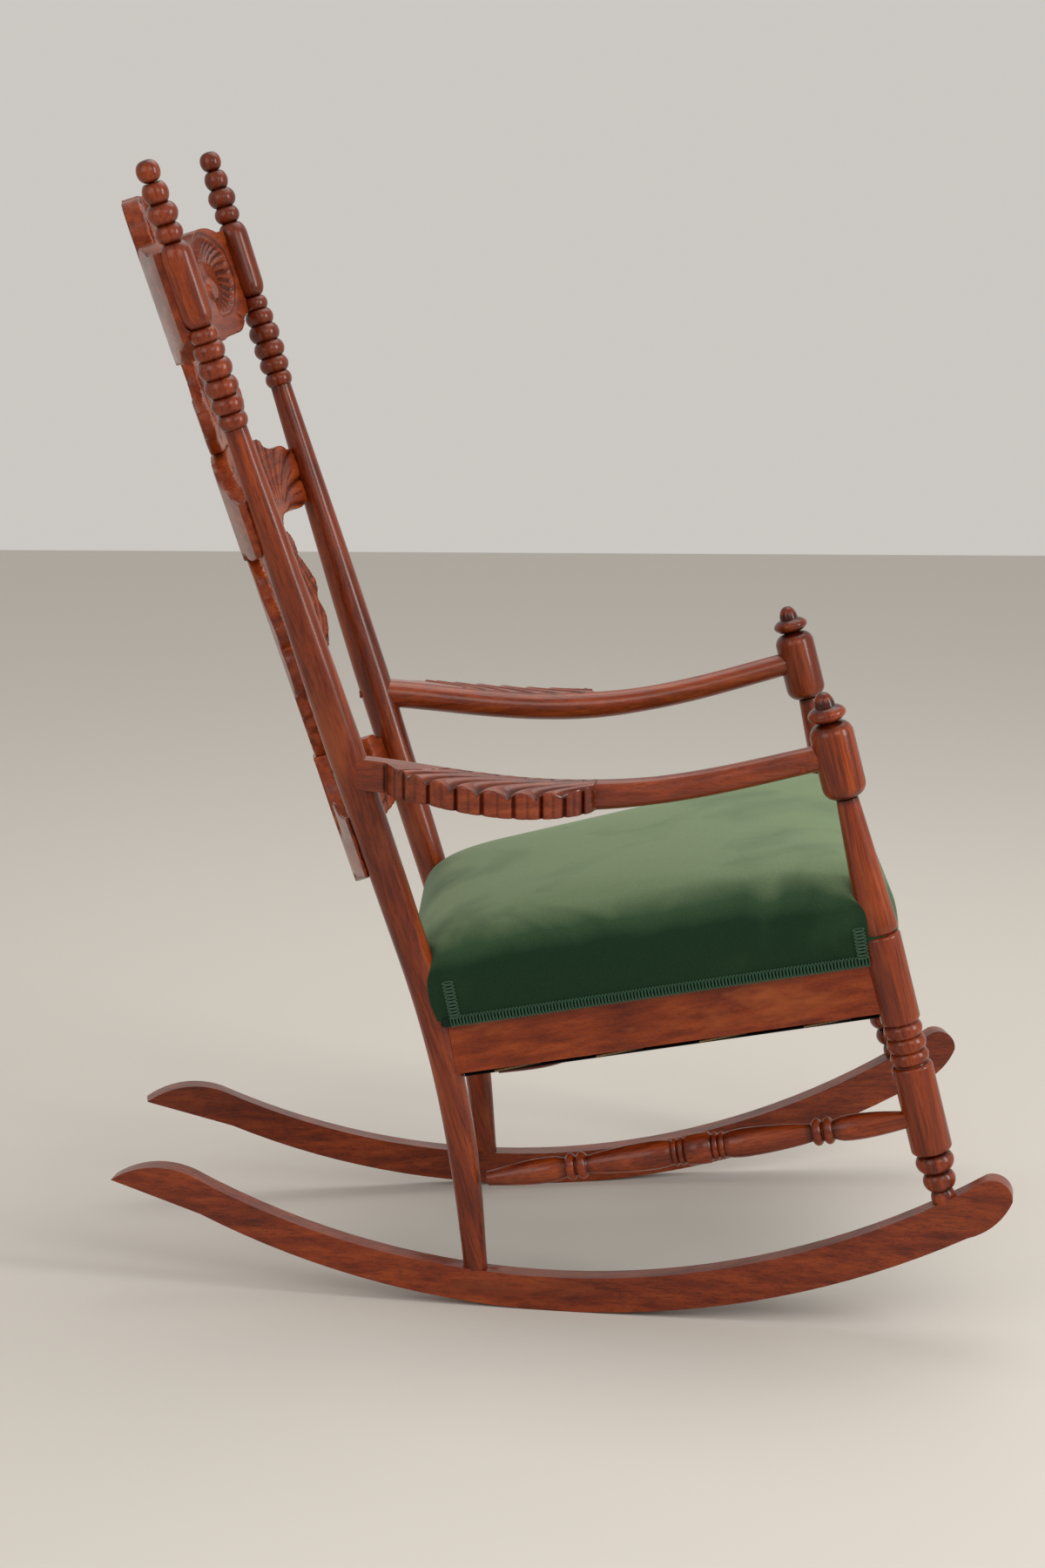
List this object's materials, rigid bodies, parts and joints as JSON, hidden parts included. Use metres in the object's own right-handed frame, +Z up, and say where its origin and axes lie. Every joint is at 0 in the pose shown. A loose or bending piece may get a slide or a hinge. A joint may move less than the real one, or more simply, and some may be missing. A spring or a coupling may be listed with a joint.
{
  "type": "rocking chair",
  "caption": "High-back carved rocking chair with turned posts, bowed pierced back, shell-carved arms, splayed rockers and a sprung velvet seat.",
  "frame": {"origin": "on the floor, below the middle of the chair's length and width", "axes": "+X the way the sitter faces, +Y the sitter's left, +Z up"},
  "size_m": [0.9717, 0.6512, 1.2223],
  "materials": {
    "oak": "glossy old varnish, stained red-brown, worn in places",
    "velvet": "cut pile, pale on top where it is brushed",
    "braid": "woven looped braid",
    "jute": "coarse weave",
    "stuffing": "matted fibre",
    "black_cotton": "thin matt cloth",
    "spring_wire": "dull lacquered wire",
    "screw_steel": "dull steel"
  },
  "bodies": {
    "root": {"rocker_right": "oak", "rocker_left": "oak", "rear_post_right": "oak", "rear_post_left": "oak", "front_post_right": "oak", "front_post_left": "oak", "side_stretcher_right": "oak", "side_stretcher_left": "oak", "front_stretcher": "oak", "rear_stretcher": "oak", "side_rail_right": "oak", "side_rail_left": "oak", "rear_rail": "oak", "front_rail": "oak", "corner_blocks": "oak", "arm_right": "oak", "arm_left": "oak", "arm_pegs": "oak", "arm_plugs": "oak", "crest_rail": "oak", "middle_rail": "oak", "lower_rail": "oak", "lower_splat": "oak", "upper_splat": "oak", "corner_screws": "screw_steel", "arm_screws": "screw_steel", "seat_springs": "spring_wire", "webbing_lengthwise": "jute", "webbing_crosswise": "jute", "spring_burlap": "jute", "seat_stuffing": "stuffing", "seat_cover": "velvet", "seat_gimp": "braid", "dust_cover": "black_cotton"}
  },
  "joints": []
}
